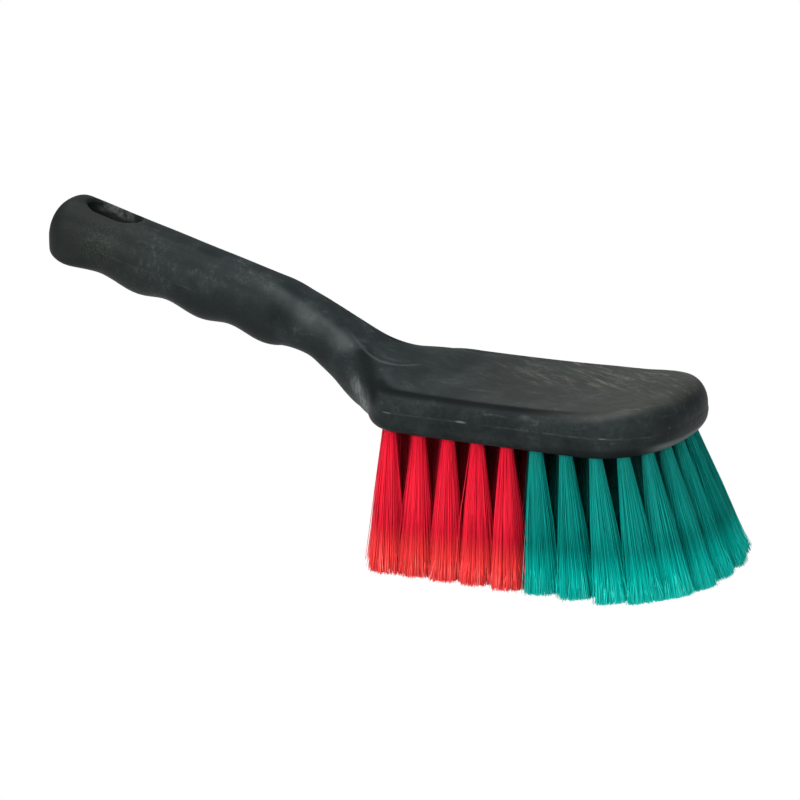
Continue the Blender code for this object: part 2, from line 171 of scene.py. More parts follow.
# Lines beside which the neck has painted shade (corner), scratches (patch) or a painted highlight
# (shoulder): forward of its start, across, above the floor
NECK_LINES = {
    "corner": ((0.0390, -0.0125, 0.0772), (0.0535, -0.0320, 0.0688)),
    "patch": ((0.0388, -0.0190, 0.0664), (0.0458, -0.0250, 0.0600)),
    "shoulder": ((0.0040, -0.0095, 0.0942), (0.0300, -0.0118, 0.0806)),
}

# Tufts: their holes, their fan and their leans
HOLE_RADIUS = 0.0028
HOLE_DEPTH = 0.0095
HOLE_FLARE = 0.0003
HOLE_OVERRUN = 0.002
TUFT_LENGTH = 0.0548
ROOT_RADIUS = 0.0021
ROOT_DEPTH = 0.002
TIP_RADIUS = 0.0068
TUFT_TOP_Z = UNDERSIDE_Z + 0.004
TUFT_FOOT_Z = 0.02
NOSE_TUFT_LEAN = 0.0015
REAR_TUFT_LEAN = 0.0012

# Filaments: their number and form, how they vary, and every third one's split end
FILAMENTS = 700
FILAMENT_RADIUS = 0.00016
FILAMENT_RINGS = 3
STRAND_SIDES = 3
FILAMENT_TWIST = 6
FILAMENT_TAPER = 0.22
LOWEST_Z = 0.00002
GOLDEN_ANGLE = 2.39996
FLARE_POWER = 0.95
TIP_SPREAD_POWER = 0.72
SPREAD_VARIATION = 0.07
TURN_VARIATION = 0.09
TIP_SCATTER = 0.00035
STRAY_SHARE = 0.03
STRAY_SCATTER = 0.0011
LENGTH_VARIATION = 0.0008
TUFT_VARIATION = 0.0005
BEND_VARIATION = 0.0003
SPLIT_EVERY = 3
SPLIT_STARTS = (0.80, 0.92)
SPLIT_LEAN = 0.0007
SPLIT_LOSS = 0.0006
SPLIT_RADII = (0.00014, 0.00012, 0.00006)
FIRST_SEED = 100

# Painted shade: tufts well inside the head's outline have darker roots, less so at the rear
SHELTER_INSETS = (0.0075, 0.0125)
REAR_SHELTER = 0.38

# Colours of a filament's root, middle, tip and frayed end (the darker root is painted shade), and how much
# painted shade darkens a sheltered root
FILAMENT_LOOKS = {
    "red": ((0.52, 0.004, 0.020, 1), (0.62, 0.011, 0.031, 1), (0.92, 0.056, 0.056, 1),
            (1.0, 0.20, 0.17, 1), 0.88),
    "green": ((0.0, 0.165, 0.141, 1), (0.0, 0.203, 0.174, 1), (0.0, 0.50, 0.43, 1),
              (0.05, 0.68, 0.60, 1), 0.80),
}

# A filament's looks along it, from 0 at the root to 1 at the tip; a roughness is a least value and a rise
MIDDLE_FADE = (0.0, 0.5)
TIP_FADE = (0.64, 0.88)
TIP_SHARE = 0.92
FRAY_FADE = (0.80, 1.0)
FRAY_NOISE = (260, 3, 0.6)
FRAY_BAND = (1.00, 1.6)
ROOT_SHADE_FADE = (0.75, 0.10)
TONE_FADE = (-0.2, 0.8)
TONE_RISE = 0.13
LEAST_VALUE = 0.94
TIP_ROUGH_FADE = (0.7, 1.0)
FILAMENT_ROUGHNESS = (0.38, 0.25)
FILAMENT_SPECULAR = 0.07

# Colours of the moulding, some of them painted light and shade: the blackest is painted shade, the slot's
# grey painted light, and the pale, worn-brown and scratch-grey ones also paint highlights and sheen
DARK_PLASTIC = (0.0050, 0.0072, 0.0074, 1)
MIDDLE_PLASTIC = (0.0120, 0.0155, 0.0158, 1)
PALE_PLASTIC_AND_HIGHLIGHT = (0.042, 0.049, 0.048, 1)
WORN_AND_SHEEN_BROWN = (0.080, 0.074, 0.062, 1)
SCRATCH_AND_HIGHLIGHT_GREY = (0.080, 0.090, 0.088, 1)
SLOT_LIGHT_GREY = (0.070, 0.076, 0.074, 1)
HEEL_GREY = (0.058, 0.066, 0.054, 1)
HEEL_OLIVE = (0.0052, 0.0064, 0.0049, 1)
PAINTED_SHADE_BLACK = (0.0030, 0.0040, 0.0042, 1)

# Noises of the moulding: scale, detail, roughness and any stretch; where one sets in; and any turn
CLOUDS = (62, 5, 0.62)
GRAIN = (1500, 3, 0.7)
FINE = (300, 6, 0.74)
STREAKS = ((380, 5, 0.70, (0.14, 1.0, 1.0)), (0.56, 0.74))
SCRAPES = ((560, 6, 0.82, (1.0, 1.0, 0.5)), (0.50, 0.70))
HEEL_GRAINS = ((1150, 4, 0.8), (0.44, 0.64))
SCUFFS = ((430, 6, 0.8, (0.12, 1.0, 1.0)), (0.485, 0.70), math.radians(37))
CROSS_SCUFFS = ((360, 6, 0.8, (0.14, 1.0, 1.0)), (0.52, 0.72), math.radians(-32))
SCRATCHES = ((520, 6, 0.82, (1.0, 1.0, 0.30)), (0.40, 0.60))
FLECKS = ((420, 4, 0.75), (0.42, 0.60))
SEAM_BREAKS = ((75, 4, 0.7), (0.42, 0.62))

# Where the layers that share the clouds or the fine noise set in
CLOUD_BAND = (0.34, 0.68)
SPECKLE_BAND = (0.52, 0.74)
SPECKLED_CLOUDS = (0.44, 0.62)
SCRAPED_CLOUDS = (0.46, 0.60)
SHOULDER_BAND = (0.25, 0.60)
SLOT_LIGHT_BAND = (0.36, 0.62)

# How strongly each layer shows; a pair is its least strength and the rise from there
SPECKLE_SHARES = (0.2, 0.4)
OLIVE_SHARE = 0.70
SCRAPE_SHARE = 0.72
MOTTLE_SHARE = 0.22
SHOULDER_SHARE = 0.30
SLOT_LIGHT_SHARE = 0.75
STREAK_SHARES = (0.12, 0.38)
SCUFF_SHARE = 0.80
CROSS_SCUFF_SHARE = 0.34
TOP_SHEEN_SHARE = 0.16
GROOVE_SHARE = 0.87
CORNER_SHARE = 0.85
THUMB_SHARE = 0.58
SLANT_SHARE = 0.38
FLECK_SHARES = (0.18, 0.22)
UNDER_LIP_SHARE = 0.60
NOSE_LIP_SHARE = 0.95
SEAM_SHARES = (0.08, 0.08)
CREASE_SHARE = 0.19

# Fades by distance from the parting line, the neck's lines, the rim, the tongue or the slot's top
SPECKLE_FADE = (-0.0022, 0.0006)
SHOULDER_FADE = (0.0052, 0.0006)
SLOT_LIGHT_DEPTH_FADE = (0.0060, 0.0038)
PATCH_FADE = (0.0060, 0.0010)
GROOVE_TOP_FADE = (0.0085, 0.0050)
GROOVE_FACE_FADE = (-0.0030, 0.0022)
CORNER_FADE = (0.0072, 0.0005)
SEAM_EDGE_FADE = (0.00050, 0.00010)
CREASE_EDGE_FADE = (0.00110, 0.00025)
CREASE_STEP_FADE = (0.0009, -0.0009)

# Fades across the brush, where the near side is below zero
SCUFF_Y = (-0.024, 0.012)
GROOVE_Y = (-0.019, -0.028)
UNDER_LIP_Y = (-0.018, -0.029)
NOSE_LIP_Y = (-0.033, -0.018)
CREASE_Y = (-0.0038, -0.0095)

# Fades by how far the surface faces up, how level it is, or how far it faces the far side
TOP_FADE = (0.50, 0.97)
SLANT_LOW_FADE = (0.20, 0.50)
SLANT_HIGH_FADE = (0.97, 0.80)
CREASE_TOP_FADE = (0.2, 0.5)
SIDE_FADE = (0.75, 0.45)
SEAM_SIDE_FADE = (0.8, 0.55)
SLOT_LIGHT_FACING_FADE = (-0.45, -0.85)

# Relief and sheen of the moulding
BODY_ROUGHNESS = (0.38, 0.26)
SHADE_ROUGHNESS = 0.25
BODY_SPECULAR = 0.075
SPECULAR_TOP = 1.15
BUMP_STRENGTH = 0.40
BUMP_DISTANCE = 0.0004
GRAIN_RELIEF = 0.35
FINE_RELIEF = 0.5
SEAM_RELIEF = 0.5
CREASE_RELIEF = 0.6

# Small bright nicks on the near side: forward of the head's middle, above the underside, length, height and
# strength; then a small dent's painted shade beside the second nick, in the same terms
NICKS = (
    (-0.0425, 0.0085, 0.0060, 0.0006, 0.55),
    (-0.0115, 0.0087, 0.0060, 0.0012, 0.66),
    (0.0148, 0.0135, 0.0064, 0.0020, 0.13),
    (0.0458, 0.0087, 0.0046, 0.0007, 0.50),
)
DENT = (-0.0081, 0.0094, 0.0044, 0.0018, 0.42)
MARK_CORE = 0.3

# The camera and the soft lights: a light's name, place, aim, size and power
CAMERA_AZIMUTH = math.radians(26)
CAMERA_ELEVATION = math.radians(15.8)
CAMERA_DISTANCE = 2.0
CAMERA_ROLL = -0.0110
CAMERA_REACH = 50
SENSOR_WIDTH = 36
FOCAL_SHARE = 5246 / 800
AIM_HEIGHT = 0.0571
AIM_SETBACK = 0.0546
LIGHTS = (
    ("top_light", (-0.30, -0.25, 1.25), (0, 0, 0.06), 0.8, 32.5),
    ("front_light", (0.05, -1.50, 0.60), (0, 0, 0.05), 1.4, 37),
    ("nose_light", (1.40, -0.35, 0.35), (0.10, 0, 0.03), 1.0, 9),
)
WHITE = (1, 1, 1, 1)
AMBIENT_COLOUR = (0.93, 1, 1, 1)
AMBIENT_STRENGTH = 0.36
FLOOR_COLOUR = (0.45, 0.45, 0.45, 1)
FLOOR_ROUGHNESS = 0.9
FLOOR_SIZE = 12
FLOOR_Z = -0.0002

# Places along the brush and up it; the neck's is where it begins
BODY_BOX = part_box("brush_body")
NOSE_X = BODY_BOX[1].x
HEEL_X = BODY_BOX[0].x + HEEL_SETBACK
SLOT_X = HEEL_X + SLOT_SETBACK + SLOT_LENGTH / 2
SIDE_FRONT_X = NOSE_X - NOSE_LENGTH
SIDE_REAR_X = SIDE_FRONT_X - SIDE_LENGTH
MIDDLE_X = (SIDE_FRONT_X + SIDE_REAR_X) / 2
NECK_X = BODY_BOX[0].x + GRIP_LENGTH
JUNCTION_X = SIDE_REAR_X - REAR_LENGTH * 0.6
BEAD_Z = UNDERSIDE_Z + HEAD_THICKNESS
TOP_Z = BEAD_Z + TOP_EDGE_RISE + TOP_CROWN

# Where the head's forms and the tufts' leans change along the brush; the lips' reaches are from its middle
ROLL_X = (MIDDLE_X + 0.016, MIDDLE_X + 0.052)
GROOVE_END_X = (MIDDLE_X + 0.018, MIDDLE_X + 0.048)
NOSE_RISE_X = (MIDDLE_X + 0.030, NOSE_X - 0.010)
REAR_LIP_REACH = (0.024, 0.056)
NOSE_LIP_REACH = (0.030, 0.062)
NOSE_LEAN_X = (SIDE_FRONT_X - 0.010, NOSE_X - 0.010)
REAR_LEAN_X = (SIDE_REAR_X + 0.004, SIDE_REAR_X - 0.008)
SHELTER_X = (SIDE_REAR_X - 0.004, SIDE_REAR_X + 0.034)

# Where the moulding's layers set in along the brush
OLIVE_X = (HEEL_X + 0.075, HEEL_X + 0.010)
SCRAPE_NECK_X = (NECK_X + 0.010, NECK_X - 0.012)
SCRAPE_HEEL_X = (HEEL_X + 0.024, HEEL_X + 0.050)
STREAK_X = (NECK_X, NECK_X + 0.030)
SCUFF_X = (MIDDLE_X - 0.040, MIDDLE_X + 0.010)
CROSS_SCUFF_X = (MIDDLE_X + 0.022, MIDDLE_X + 0.046)
TOP_SHEEN_X = (SIDE_REAR_X - 0.020, NOSE_X - 0.010)
GROOVE_X = (MIDDLE_X + 0.052, MIDDLE_X + 0.012)
SLANT_X = (NECK_X + 0.004, NECK_X - 0.016)
SHADE_REAR_X = (SIDE_REAR_X - 0.016, SIDE_REAR_X - 0.004)
SHADE_NOSE_X = (NOSE_X - 0.005, NOSE_X - 0.021)
UNDER_LIP_X = (MIDDLE_X, SIDE_FRONT_X)
NOSE_LIP_X = (NOSE_X - 0.013, NOSE_X - 0.003)
SEAM_HEEL_X = (HEEL_X + 0.024, HEEL_X + 0.034)
SEAM_GRIP_X = (HEEL_X + 0.072, HEEL_X + 0.058)
SEAM_HEAD_X = (SIDE_REAR_X - 0.0210, SIDE_REAR_X - 0.0185)
SEAM_BRIGHT_X = (MIDDLE_X - 0.005, MIDDLE_X + 0.030)
CREASE_X = (NECK_X + 0.022, NECK_X + 0.048)

# Where the lip's marks set in by height
UNDER_LIP_Z = (UNDERSIDE_Z + 0.0062, UNDERSIDE_Z + 0.0028)
NOSE_LIP_Z = (UNDERSIDE_Z + 0.0058, UNDERSIDE_Z + 0.0030)

# Round places on the grip, neck and slot, with the radii between which each fades out
MOTTLE_PLACE = (HEEL_X + 0.0245, -0.0125, 0.1095)
MOTTLE_RADII = (0.003, 0.013)
# The thumb's place: painted shade of a hollow
THUMB_PLACE = (NECK_X + 0.0044, -0.0120, 0.0888)
THUMB_RADII = (0.0015, 0.0100)
# The slot's far wall: where painted light sits near its top
SLOT_LIGHT_DEPTH = 0.004
SLOT_LIGHT_RADII = (0.0045, 0.0095)


def ease(low, high, value):
    """Rise smoothly from 0 at low to 1 at high."""
    share = min(1.0, max(0.0, (value - low) / (high - low)))
    return share * share * (3 - 2 * share)


def add_object(name, data):
    """A new object in the scene, with its data."""
    item = bpy.data.objects.new(name, data)
    bpy.context.scene.collection.objects.link(item)
    return item


def to_object(name, work):
    """An object from a mesh in the making."""
    mesh = bpy.data.meshes.new(name)
    work.to_mesh(mesh)
    work.free()
    return add_object(name, mesh)


def add_skin(work, rings, peak=None):
    """A closed skin over a list of rings, with flat ends or a peak on the last ring."""
    rows = [[work.verts.new(point) for point in ring] for ring in rings]
    count = len(rows[0])
    for low, high in zip(rows, rows[1:]):
        for i in range(count):
            j = (i + 1) % count
            work.faces.new((low[i], low[j], high[j], high[i]))
    work.faces.new(rows[0])
    if peak:
        middle = work.verts.new(peak)
        for i in range(count):
            work.faces.new((rows[-1][i], rows[-1][(i + 1) % count], middle))
    else:
        work.faces.new(rows[-1])
    bmesh.ops.recalc_face_normals(work, faces=work.faces)


def head_outline():
    """The head's plan as points and outward normals, going once round."""
    points = []

    def add_end(centre_x, length, half, side, roundness):
        for step in range(OUTLINE_STEPS + 1):
            angle = math.pi * (step / OUTLINE_STEPS - 0.5) * side
            along, across = math.cos(angle), math.sin(angle)
            x = length * abs(along) ** (2 / roundness)
            y = math.copysign(half * abs(across) ** (2 / roundness), across)
            slope_x = side * (x / length) ** (roundness - 1) / length
            slope_y = math.copysign((abs(y) / half) ** (roundness - 1) / half, y)
            normal = Vector((slope_x, slope_y, 0)).normalized()
            points.append((Vector((centre_x + side * x, y, 0)), normal))

    def add_side(start_x, start_width, end_width, side):
        for step in range(1, OUTLINE_STEPS):
            share = step / OUTLINE_STEPS
            half = (start_width + (end_width - start_width) * share) / 2
            place = Vector((start_x - side * SIDE_LENGTH * share, side * half, 0))
            points.append((place, Vector((0, side, 0))))

    add_end(SIDE_FRONT_X, NOSE_LENGTH, HEAD_WIDTH / 2, 1, NOSE_ROUNDNESS)
    add_side(SIDE_FRONT_X, HEAD_WIDTH, REAR_WIDTH, 1)
    add_end(SIDE_REAR_X, REAR_LENGTH, REAR_WIDTH / 2, -1, REAR_ROUNDNESS)
    add_side(SIDE_REAR_X, REAR_WIDTH, HEAD_WIDTH, -1)
    return points


def saddle(x):
    """How much the head's top rises away from the middle of its sides."""
    share = (x - MIDDLE_X) / (SIDE_LENGTH / 2 + REAR_LENGTH)
    if share < 0:
        return REAR_SADDLE * share ** 2
    return TOP_SADDLE * share ** 2 + NOSE_RISE * ease(*NOSE_RISE_X, x)


def head_profile(lip_radius, bead_radius):
    """The edge's cross-section, from the lip up: inset, height and how much of the groove is there."""
    profile = []
    for step in range(LIP_STEPS + 1):
        angle = math.pi / 2 * step / LIP_STEPS
        profile.append((lip_radius * (1 - math.sin(angle)), lip_radius * (1 - math.cos(angle)), 0))
    bead_centre = HEAD_THICKNESS - bead_radius
    for step in range(1, WALL_STEPS):
        share = step / WALL_STEPS
        height = lip_radius + (bead_centre - lip_radius) * share
        profile.append((WALL_BULGE * (1 - math.sin(math.pi * share)), height, 0))
    for step in range(BEAD_STEPS + 1):
        angle = math.pi / 2 * step / BEAD_STEPS
        inset = WALL_BULGE + bead_radius * (1 - math.cos(angle))
        profile.append((inset, bead_centre + bead_radius * math.sin(angle), 0))
    for step in range(1, GROOVE_STEPS + 1):
        share = step / GROOVE_STEPS
        inset = WALL_BULGE + bead_radius + GROOVE_WIDTH * share
        groove = (1 - math.cos(math.tau * share)) / 2
        profile.append((inset, HEAD_THICKNESS + TOP_EDGE_RISE * share, groove))
    return profile


def head_column(point, normal):
    """The head's edge at one place of its outline, from the lip up to the top's rim."""
    bead_radius = BEAD_RADIUS + (NOSE_BEAD_RADIUS - BEAD_RADIUS) * ease(*ROLL_X, point.x)
    rear = ease(*REAR_LIP_REACH, MIDDLE_X - point.x)
    nose = ease(*NOSE_LIP_REACH, point.x - MIDDLE_X)
    lip_radius = LIP_RADIUS + (REAR_LIP_RADIUS - LIP_RADIUS) * rear + (NOSE_LIP_RADIUS - LIP_RADIUS) * nose
    at_nose = ease(SIDE_FRONT_X, NOSE_X, point.x)
    column = []
    for inset, height, groove in head_profile(lip_radius, bead_radius):
        lift = max(0.0, height - lip_radius) / (HEAD_THICKNESS - lip_radius)
        x, y = point.x - normal.x * inset, point.y - normal.y * inset
        drop = groove * GROOVE_DEPTH * (1 - ease(*GROOVE_END_X, x))
        z = UNDERSIDE_Z + height - drop + min(1.0, lift) * saddle(x)
        share = height / HEAD_THICKNESS
        swell = NOSE_SWELL * math.sin(math.pi * min(1.0, share)) if groove == 0 else 0.0
        column.append(Vector((x + at_nose * (NOSE_LEAN * (share - LEAN_PIVOT) + swell), y, z)))
    return column


def head_rings():
    """The head's block as rings, from its rounded lip over the bead and the groove to the crowned top."""
    columns = [head_column(point, normal) for point, normal in head_outline()]
    rings = [list(ring) for ring in zip(*columns)]
    rim = rings[-1]
    for share in TOP_RING_SHARES:
        ring = []
        for place in rim:
            x = MIDDLE_X + (place.x - MIDDLE_X) * share
            rise = TOP_CROWN * (1 - share ** 2)
            ring.append(Vector((x, place.y * share, BEAD_Z + TOP_EDGE_RISE + rise + saddle(x))))
        rings.append(ring)
    return rings


def section(x, low, high, half_width, squareness):
    """One upright cross-section of the grip or neck; squareness fills out its two lower corners."""
    middle, half_height = (low + high) / 2, (high - low) / 2
    ring = []
    for i in range(SECTION_STEPS):
        angle = math.tau * i / SECTION_STEPS
        across, up = math.cos(angle), math.sin(angle)
        power = 2 / (GRIP_ROUNDNESS if up > 0 else GRIP_ROUNDNESS + squareness)
        y = math.copysign(half_width * abs(across) ** power, across)
        z = math.copysign(half_height * abs(up) ** power, up)
        ring.append(Vector((x, y, middle + z)))
    return ring


def grip_top(x):
    """Height of the grip's straight top line."""
    return GRIP_TOP_Z + (NECK_X - x) * math.tan(GRIP_SLOPE)


def grip_bottom(x):
    """Height of the grip's underside with its finger waves."""
    wave = (1 + math.cos(math.tau * (x - NECK_X + FINGER_OFFSET) / FINGER_PITCH)) / 2
    swell = GRIP_SWELL * math.sqrt(max(0.0, NECK_X - x) / GRIP_LENGTH)
    return grip_top(x) - GRIP_HEIGHT - swell - FINGER_DEPTH * wave


def quarter_drop(from_end, length, drop):
    """How far a rounded end falls short, a quarter ellipse over its length."""
    share = min(1.0, max(0.0, (length - from_end) / length))
    return drop * (1 - math.sqrt(1 - share ** 2))


def grip_section(x):
    """The grip's cross-section, with the heel's end rounded as seen from the side and from above."""
    from_heel = x - HEEL_X
    high = grip_top(x) - quarter_drop(from_heel, HEEL_TOP_LENGTH, HEEL_TOP_DROP)
    low = grip_bottom(x) + quarter_drop(from_heel, HEEL_BOTTOM_LENGTH, HEEL_BOTTOM_RISE)
    low += HEEL_LIFT * (1 - ease(*HEEL_LIFT_FADE, from_heel))
    toward_heel = (NECK_X - x) / GRIP_LENGTH
    half = (GRIP_WIDTH + (HEEL_WIDTH - GRIP_WIDTH) * toward_heel ** 2) / 2
    narrowing = half * (1 - HEEL_TIP_SHARE)
    half -= quarter_drop(from_heel, HEEL_SIDE_LENGTH, narrowing)
    return section(x, low, high, half, HEEL_SQUARENESS * (1 - ease(*HEEL_SQUARE_FADE, from_heel)))


def neck_shares(along):
    """The neck's top, bottom and width shares at a place between the table's rows, as a smooth curve."""
    rows = NECK_SHARES
    index = max(1, next((k for k, row in enumerate(rows) if row[0] >= along), len(rows) - 1))
    before, start, end = rows[max(0, index - 2)], rows[index - 1], rows[index]
    after = rows[min(len(rows) - 1, index + 1)]
    width = end[0] - start[0]
    t = (along - start[0]) / width
    values = []
    for k in (1, 2, 3):
        slope_a = (end[k] - before[k]) / (end[0] - before[0]) * width
        slope_b = (after[k] - start[k]) / (after[0] - start[0]) * width
        values.append((2 * t ** 3 - 3 * t ** 2 + 1) * start[k] + (t ** 3 - 2 * t ** 2 + t) * slope_a
                      + (3 * t ** 2 - 2 * t ** 3) * end[k] + (t ** 3 - t ** 2) * slope_b)
    return values


def handle_rings():
    """The grip and the neck as one run of rings whose front end lies inside the head."""
    rings = []
    for i in range(GRIP_RINGS):
        share = (i / GRIP_RINGS) ** GRIP_RING_POWER
        rings.append(grip_section(HEEL_X + (NECK_X - HEEL_X) * share))
    start_low = grip_bottom(NECK_X)
    end_low = UNDERSIDE_Z + NECK_FLOOR
    for i in range(NECK_RINGS):
        along = NECK_SHARES[-1][0] * i / (NECK_RINGS - 1)
        top, bottom, width = neck_shares(along)
        high = TOP_Z + (GRIP_TOP_Z - TOP_Z) * top
        low = end_low + (start_low - end_low) * bottom
        squareness = NECK_SQUARENESS * ease(*NECK_SQUARE_FADE, along)
        x = NECK_X + NECK_LENGTH * along
        rings.append(section(x, low, high, GRIP_WIDTH / 2 * width, squareness))
    return rings


def make_slot():
    """The cutter for the hang slot, with softly rounded rims."""
    axis = Vector((math.sin(GRIP_SLOPE), 0, math.cos(GRIP_SLOPE)))
    along = Vector((math.cos(GRIP_SLOPE), 0, -math.sin(GRIP_SLOPE)))
    middle = Vector((SLOT_X, 0, (grip_top(SLOT_X) + grip_bottom(SLOT_X)) / 2))
    reach = (grip_top(SLOT_X) - grip_bottom(SLOT_X)) / 2 * math.cos(GRIP_SLOPE)
    levels = [(-reach - CUTTER_MARGIN, SLOT_RIM + CUTTER_MARGIN)]
    for step in range(SLOT_RIM_STEPS + 1):
        rise = math.sin(math.pi / 2 * step / SLOT_RIM_STEPS)
        flare = 1 - math.sin(math.acos(1 - rise))
        levels.append((-reach + SLOT_RIM * rise, SLOT_RIM * flare))
    upper = [(-depth, flare) for depth, flare in reversed(levels)]
    rings = []
    straight = (SLOT_LENGTH - SLOT_WIDTH) / 2
    for depth, flare in levels + upper:
        radius = SLOT_WIDTH / 2 + flare
        ring = []
        for end in (1, -1):
            for step in range(SLOT_END_STEPS + 1):
                angle = math.pi * (step / SLOT_END_STEPS - 0.5)
                forward = along * (straight + radius * math.cos(angle))
                sideways = Vector((0, radius * math.sin(angle), 0))
                ring.append(middle + axis * depth + (forward + sideways) * end)
        rings.append(ring)
    work = bmesh.new()
    add_skin(work, rings)
    return to_object("slot_form", work)


def tuft_line(node):
    """Where a CAD tuft leaves the underside, and its direction towards the head."""
    co = np.array([vert.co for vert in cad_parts[node].data.vertices])
    top = Vector(co[co[:, 2] > TUFT_TOP_Z].mean(0))
    tip = Vector(co[co[:, 2] < TUFT_FOOT_Z].mean(0))
    axis = (top - tip).normalized()
    mouth = top - axis * ((top.z - UNDERSIDE_Z) / axis.z)
    lean = NOSE_TUFT_LEAN * ease(*NOSE_LEAN_X, mouth.x)
    lean += REAR_TUFT_LEAN * ease(*REAR_LEAN_X, mouth.x)
    return mouth, (axis * TUFT_LENGTH - Vector((lean, 0, 0))).normalized()


def make_holes(lines):
    """The cutter for the blind tuft holes, each with a slightly wider mouth."""
    work = bmesh.new()
    wide = HOLE_RADIUS + HOLE_FLARE
    levels = ((-HOLE_OVERRUN, wide), (0.0, wide), (HOLE_FLARE, HOLE_RADIUS), (HOLE_DEPTH, HOLE_RADIUS))
    for mouth, axis in lines:
        first = Vector((0, 1, 0)).cross(axis).normalized()
        second = axis.cross(first)
        rings = []
        for depth, radius in levels:
            ring = []
            for i in range(HOLE_SIDES):
                angle = math.tau * i / HOLE_SIDES
                outward = first * math.cos(angle) + second * math.sin(angle)
                ring.append(mouth + axis * depth + outward * radius)
            rings.append(ring)
        add_skin(work, rings)
    return to_object("holes_form", work)


def bake_modifiers(item):
    """Turn an object's modifiers into its mesh."""
    depsgraph = bpy.context.evaluated_depsgraph_get()
    mesh = bpy.data.meshes.new_from_object(item.evaluated_get(depsgraph))
    item.modifiers.clear()
    item.data = mesh


def add_float(mesh, name, values):
    """A number on every vertex for the material to read."""
    attribute = mesh.attributes.new(name, "FLOAT", "POINT")
    attribute.data.foreach_set("value", np.asarray(values, np.float32))


def parting_height(x):
    """Height of the mould's parting line: level along the head, then up the neck and along the grip."""
    level = UNDERSIDE_Z + PARTING_HEIGHT
    along = (x - NECK_X) / NECK_LENGTH
    if along >= PARTING_LEVEL:
        return level
    if along <= 0:
        return grip_top(x) - PARTING_DROP
    start = grip_top(NECK_X) - PARTING_DROP
    return start + (level - start) * ease(PARTING_START, PARTING_LEVEL, along)


def edge_inset(x, y):
    """How far a place lies inside the head's outline, seen from above."""
    if SIDE_REAR_X <= x <= SIDE_FRONT_X:
        share = (SIDE_FRONT_X - x) / SIDE_LENGTH
        return (HEAD_WIDTH + (REAR_WIDTH - HEAD_WIDTH) * share) / 2 - abs(y)
    if x > SIDE_FRONT_X:
        length, half, start, power = NOSE_LENGTH, HEAD_WIDTH / 2, SIDE_FRONT_X, NOSE_ROUNDNESS
    else:
        length, half, start, power = REAR_LENGTH, REAR_WIDTH / 2, SIDE_REAR_X, REAR_ROUNDNESS
    along, across = abs(x - start) / length, abs(y) / half
    reach = (along ** power + across ** power) ** (1 / power)
    slope = math.hypot(along ** (power - 1) / length, across ** (power - 1) / half)
    return (1 - reach) * reach ** (power - 1) / max(slope, 1)


def below_rim(place):
    """A place's inset from the head's outline, less its depth under the rim; it falls down the face."""
    depth = max(0.0, BEAD_Z + saddle(place.x) - place.z)
    return edge_inset(place.x, place.y) - depth


def beside_tongue(x, y):
    """How far a place lies outside the tongue-shaped crease where the neck's top lands on the head."""
    along = x - NECK_X
    if along > TONGUE_TURN:
        stretch = TONGUE_HALF / (TONGUE_END - TONGUE_TURN)
        return math.hypot((along - TONGUE_TURN) * stretch, y) - TONGUE_HALF
    widening = ease(TONGUE_START, TONGUE_WIDEST, along)
    return abs(y) - TONGUE_START_HALF - (TONGUE_HALF - TONGUE_START_HALF) * widening


def beside_line(place, start, end):
    """Distance of a place from a straight line between two points, on either side of the brush."""
    mirrored = Vector((place.x, -abs(place.y), place.z))
    run = end - start
    share = min(1.0, max(0.0, (mirrored - start).dot(run) / run.length_squared))
    return (mirrored - start - run * share).length


def blend_weight(place):
    """How much a place is smoothed: most where the neck meets the head, and least at the bead."""
    if place.z <= FLAT_TOP_Z:
        return 0.0
    reach = 1 - ease(*JUNCTION_REACH, abs(place.x - JUNCTION_X))
    above = ease(*BLEND_HEIGHTS, place.z)
    from_bead = abs(edge_inset(place.x, place.y) - BEAD_INSET)
    bead = (1 - ease(*BEAD_REACH, from_bead)) * ease(*BEAD_SIDES, abs(place.y))
    return LEAST_BLEND + (1 - LEAST_BLEND) * reach * above * (1 - bead)


def mark_places(mesh):
    """What the moulding's material reads at every vertex."""
    places = [vert.co for vert in mesh.vertices]
    add_float(mesh, "parting", [place.z - parting_height(place.x) for place in places])
    add_float(mesh, "rim", [below_rim(place) for place in places])
    add_float(mesh, "tongue", [beside_tongue(place.x, place.y) for place in places])
    for name, line in NECK_LINES.items():
        start, end = (Vector((NECK_X + forward, across, above)) for forward, across, above in line)
        add_float(mesh, name, [beside_line(place, start, end) for place in places])


def make_body(lines):
    """The one-piece moulding: head and handle melted together, then the slot and the tuft holes cut."""
    work = bmesh.new()
    add_skin(work, head_rings(), (MIDDLE_X, 0, TOP_Z))
    add_skin(work, handle_rings())
    body = to_object("moulded_body", work)
    melt = body.modifiers.new("melt", "REMESH")
    melt.mode = "VOXEL"
    melt.voxel_size = VOXEL_SIZE
    bake_modifiers(body)
    blend_group = body.vertex_groups.new(name="blend")
    for vert in body.data.vertices:
        blend_group.add([vert.index], blend_weight(vert.co), "REPLACE")
    for name, rounds, group in (("fair", FAIR_ROUNDS, ""), ("fillet", FILLET_ROUNDS, "blend")):
        smoothing = body.modifiers.new(name, "SMOOTH")
        smoothing.factor = SMOOTH_FACTOR
        smoothing.iterations = rounds
        smoothing.vertex_group = group
    bake_modifiers(body)
    for cutter in (make_slot(), make_holes(lines)):
        cut = body.modifiers.new("cut", "BOOLEAN")
        cut.operation = "DIFFERENCE"
        cut.object = cutter
        cut.solver = "MANIFOLD"
        bake_modifiers(body)
        bpy.data.objects.remove(cutter)
    body.data.shade_smooth()
    body.data.set_sharp_from_angle(angle=SHARP_ANGLE)
    mark_places(body.data)
    return body


